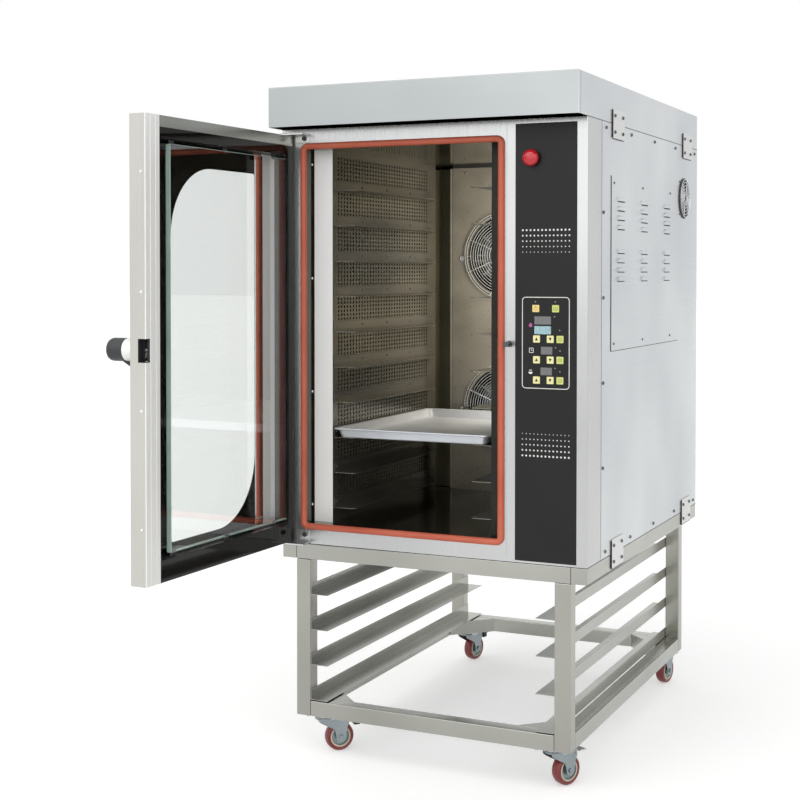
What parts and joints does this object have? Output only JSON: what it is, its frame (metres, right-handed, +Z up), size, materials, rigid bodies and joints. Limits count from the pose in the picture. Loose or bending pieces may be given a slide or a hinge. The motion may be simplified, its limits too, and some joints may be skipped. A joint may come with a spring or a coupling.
{
  "type": "convection oven",
  "caption": "Upright bakery convection oven in stainless sheet with a hinged glass door, chamber rails, wire-guarded fans and a control strip, on a wheeled tray stand.",
  "frame": {"origin": "on the floor under the middle of the casing's footprint", "axes": "+Z up, +X to the right of a person facing the door, -Y from the casing towards that person"},
  "size_m": [0.9167, 1.7457, 1.698],
  "materials": {
    "stainless": "brushed",
    "zinc": "zinc plated",
    "mineral_wool": "fibrous",
    "seal_silicone": "satin",
    "motor_paint": "satin",
    "heater_sheath": "dull",
    "panel_dark": "satin",
    "keypad_black": "satin",
    "grille_black": "matt",
    "door_glass": "clear",
    "grip_charcoal": "matt",
    "estop_red": "gloss",
    "key_yellow": "satin",
    "key_lime": "satin",
    "key_amber": "satin",
    "castor_tyre": "satin",
    "pedal_black": "satin",
    "tray_aluminium": "satin"
  },
  "bodies": {
    "oven": {"stand_frame": "stainless", "stand_tray_rails": "stainless", "castor_top_plates": "zinc", "bottom_panel": "stainless", "side_panels": "stainless", "back_panel": "stainless", "service_cover": "stainless", "front_frame": "stainless", "cavity_liner": "stainless", "insulation_blanket": "mineral_wool", "hood_shell": "stainless", "joining_brackets": "stainless", "casing_screws": "zinc", "door_seal": "seal_silicone", "air_duct_panels": "stainless", "tray_rails": "stainless", "fan_baffle": "stainless", "fan_guards": "zinc", "fan_motors": "motor_paint", "heater_rings": "heater_sheath", "control_panel": "panel_dark", "keypad_module": "keypad_black", "estop_body": "keypad_black", "hinge_brackets": "stainless", "striker_pin": "zinc", "vent_grille": "grille_black", "cable_gland": "keypad_black"},
    "door": {"door_frame": "stainless", "door_edge_trim": "stainless", "door_outer_glass": "door_glass", "door_inner_glass": "door_glass"},
    "handle": {"door_handle": "grip_charcoal", "latch_claw": "zinc"},
    "estop": {"estop_button": "estop_red"},
    "upper_rotor": {"upper_fan": "stainless"},
    "lower_rotor": {"lower_fan": "stainless"},
    "tray": {"baking_tray": "tray_aluminium"},
    "key_power_cap": {"key_power": "key_amber"},
    "key_light_cap": {"key_light": "key_lime"},
    "key_temperature_up_cap": {"key_temperature_up": "key_yellow"},
    "key_temperature_down_cap": {"key_temperature_down": "key_yellow"},
    "key_temperature_set_cap": {"key_temperature_set": "key_lime"},
    "key_time_up_cap": {"key_time_up": "key_yellow"},
    "key_time_down_cap": {"key_time_down": "key_yellow"},
    "key_time_set_cap": {"key_time_set": "key_lime"},
    "key_steam_up_cap": {"key_steam_up": "key_yellow"},
    "key_steam_down_cap": {"key_steam_down": "key_yellow"},
    "key_steam_set_cap": {"key_steam_set": "key_lime"},
    "castor_front_left": {"castor_fork_front_left": "zinc"},
    "wheel_front_left": {"castor_wheel_front_left": "castor_tyre"},
    "pedal_front_left": {"castor_brake_front_left": "pedal_black"},
    "castor_front_right": {"castor_fork_front_right": "zinc"},
    "wheel_front_right": {"castor_wheel_front_right": "castor_tyre"},
    "pedal_front_right": {"castor_brake_front_right": "zinc"},
    "castor_rear_left": {"castor_fork_rear_left": "zinc"},
    "wheel_rear_left": {"castor_wheel_rear_left": "castor_tyre"},
    "pedal_rear_left": {"castor_brake_rear_left": "pedal_black"},
    "castor_rear_right": {"castor_fork_rear_right": "zinc"},
    "wheel_rear_right": {"castor_wheel_rear_right": "castor_tyre"},
    "pedal_rear_right": {"castor_brake_rear_right": "zinc"}
  },
  "joints": [
    {"name": "door_swing", "type": "hinge", "parent": "oven", "child": "door", "pos_m": [-0.387, -0.5577, 1.065], "axis": [0, 0, -1], "range_deg": [-91.5, 14]},
    {"name": "handle_turn", "type": "hinge", "parent": "door", "child": "handle", "pos_m": [-0.43075, -1.13575, 1.065], "axis": [-0.9997, 0.0262, 0], "range_deg": [0, 90]},
    {"name": "estop_push", "type": "slide", "parent": "oven", "child": "estop", "axis": [0, 1, 0], "range_m": [0, 0.004], "stiffness_N_per_m": 1500},
    {"name": "upper_fan_spin", "type": "hinge", "parent": "oven", "child": "upper_rotor", "pos_m": [-0.065, 0.2, 1.2835], "axis": [0, 1, 0], "continuous": true},
    {"name": "lower_fan_spin", "type": "hinge", "parent": "oven", "child": "lower_rotor", "pos_m": [-0.065, 0.2, 0.8435], "axis": [0, 1, 0], "continuous": true},
    {"name": "tray_slide", "type": "slide", "parent": "oven", "child": "tray", "axis": [0, -1, 0], "range_m": [0, 0.5]},
    {"name": "key_power_press", "type": "slide", "parent": "oven", "child": "key_power_cap", "axis": [0, 1, 0], "range_m": [0, 0.0006], "stiffness_N_per_m": 800},
    {"name": "key_light_press", "type": "slide", "parent": "oven", "child": "key_light_cap", "axis": [0, 1, 0], "range_m": [0, 0.0006], "stiffness_N_per_m": 800},
    {"name": "key_temperature_up_press", "type": "slide", "parent": "oven", "child": "key_temperature_up_cap", "axis": [0, 1, 0], "range_m": [0, 0.0006], "stiffness_N_per_m": 800},
    {"name": "key_temperature_down_press", "type": "slide", "parent": "oven", "child": "key_temperature_down_cap", "axis": [0, 1, 0], "range_m": [0, 0.0006], "stiffness_N_per_m": 800},
    {"name": "key_temperature_set_press", "type": "slide", "parent": "oven", "child": "key_temperature_set_cap", "axis": [0, 1, 0], "range_m": [0, 0.0006], "stiffness_N_per_m": 800},
    {"name": "key_time_up_press", "type": "slide", "parent": "oven", "child": "key_time_up_cap", "axis": [0, 1, 0], "range_m": [0, 0.0006], "stiffness_N_per_m": 800},
    {"name": "key_time_down_press", "type": "slide", "parent": "oven", "child": "key_time_down_cap", "axis": [0, 1, 0], "range_m": [0, 0.0006], "stiffness_N_per_m": 800},
    {"name": "key_time_set_press", "type": "slide", "parent": "oven", "child": "key_time_set_cap", "axis": [0, 1, 0], "range_m": [0, 0.0006], "stiffness_N_per_m": 800},
    {"name": "key_steam_up_press", "type": "slide", "parent": "oven", "child": "key_steam_up_cap", "axis": [0, 1, 0], "range_m": [0, 0.0006], "stiffness_N_per_m": 800},
    {"name": "key_steam_down_press", "type": "slide", "parent": "oven", "child": "key_steam_down_cap", "axis": [0, 1, 0], "range_m": [0, 0.0006], "stiffness_N_per_m": 800},
    {"name": "key_steam_set_press", "type": "slide", "parent": "oven", "child": "key_steam_set_cap", "axis": [0, 1, 0], "range_m": [0, 0.0006], "stiffness_N_per_m": 800},
    {"name": "swivel_front_left", "type": "hinge", "parent": "oven", "child": "castor_front_left", "pos_m": [-0.31, -0.483, 0.09], "axis": [0, 0, 1], "continuous": true},
    {"name": "roll_front_left", "type": "hinge", "parent": "castor_front_left", "child": "wheel_front_left", "pos_m": [-0.2836, -0.45566, 0.0375], "axis": [-0.7193, 0.6947, 0], "continuous": true},
    {"name": "brake_front_left", "type": "hinge", "parent": "castor_front_left", "child": "pedal_front_left", "pos_m": [-0.2712, -0.44282, 0.0776], "axis": [-0.7193, 0.6947, 0], "range_deg": [0, 15]},
    {"name": "swivel_front_right", "type": "hinge", "parent": "oven", "child": "castor_front_right", "pos_m": [0.31, -0.483, 0.09], "axis": [0, 0, 1], "continuous": true},
    {"name": "roll_front_right", "type": "hinge", "parent": "castor_front_right", "child": "wheel_front_right", "pos_m": [0.32784, -0.44945, 0.0375], "axis": [-0.8829, 0.4695, 0], "continuous": true},
    {"name": "brake_front_right", "type": "hinge", "parent": "castor_front_right", "child": "pedal_front_right", "pos_m": [0.33622, -0.43368, 0.0776], "axis": [-0.8829, 0.4695, 0], "range_deg": [0, 15]},
    {"name": "swivel_rear_left", "type": "hinge", "parent": "oven", "child": "castor_rear_left", "pos_m": [-0.31, 0.483, 0.09], "axis": [0, 0, 1], "continuous": true},
    {"name": "roll_rear_left", "type": "hinge", "parent": "castor_rear_left", "child": "wheel_rear_left", "pos_m": [-0.30017, 0.5197, 0.0375], "axis": [-0.9659, 0.2588, 0], "continuous": true},
    {"name": "brake_rear_left", "type": "hinge", "parent": "castor_rear_left", "child": "pedal_rear_left", "pos_m": [-0.29554, 0.53695, 0.0776], "axis": [-0.9659, 0.2588, 0], "range_deg": [0, 15]},
    {"name": "swivel_rear_right", "type": "hinge", "parent": "oven", "child": "castor_rear_right", "pos_m": [0.31, 0.483, 0.09], "axis": [0, 0, 1], "continuous": true},
    {"name": "roll_rear_right", "type": "hinge", "parent": "castor_rear_right", "child": "wheel_rear_right", "pos_m": [0.3179, 0.52017, 0.0375], "axis": [-0.9781, 0.2079, 0], "continuous": true},
    {"name": "brake_rear_right", "type": "hinge", "parent": "castor_rear_right", "child": "pedal_rear_right", "pos_m": [0.32161, 0.53763, 0.0776], "axis": [-0.9781, 0.2079, 0], "range_deg": [0, 15]}
  ]
}
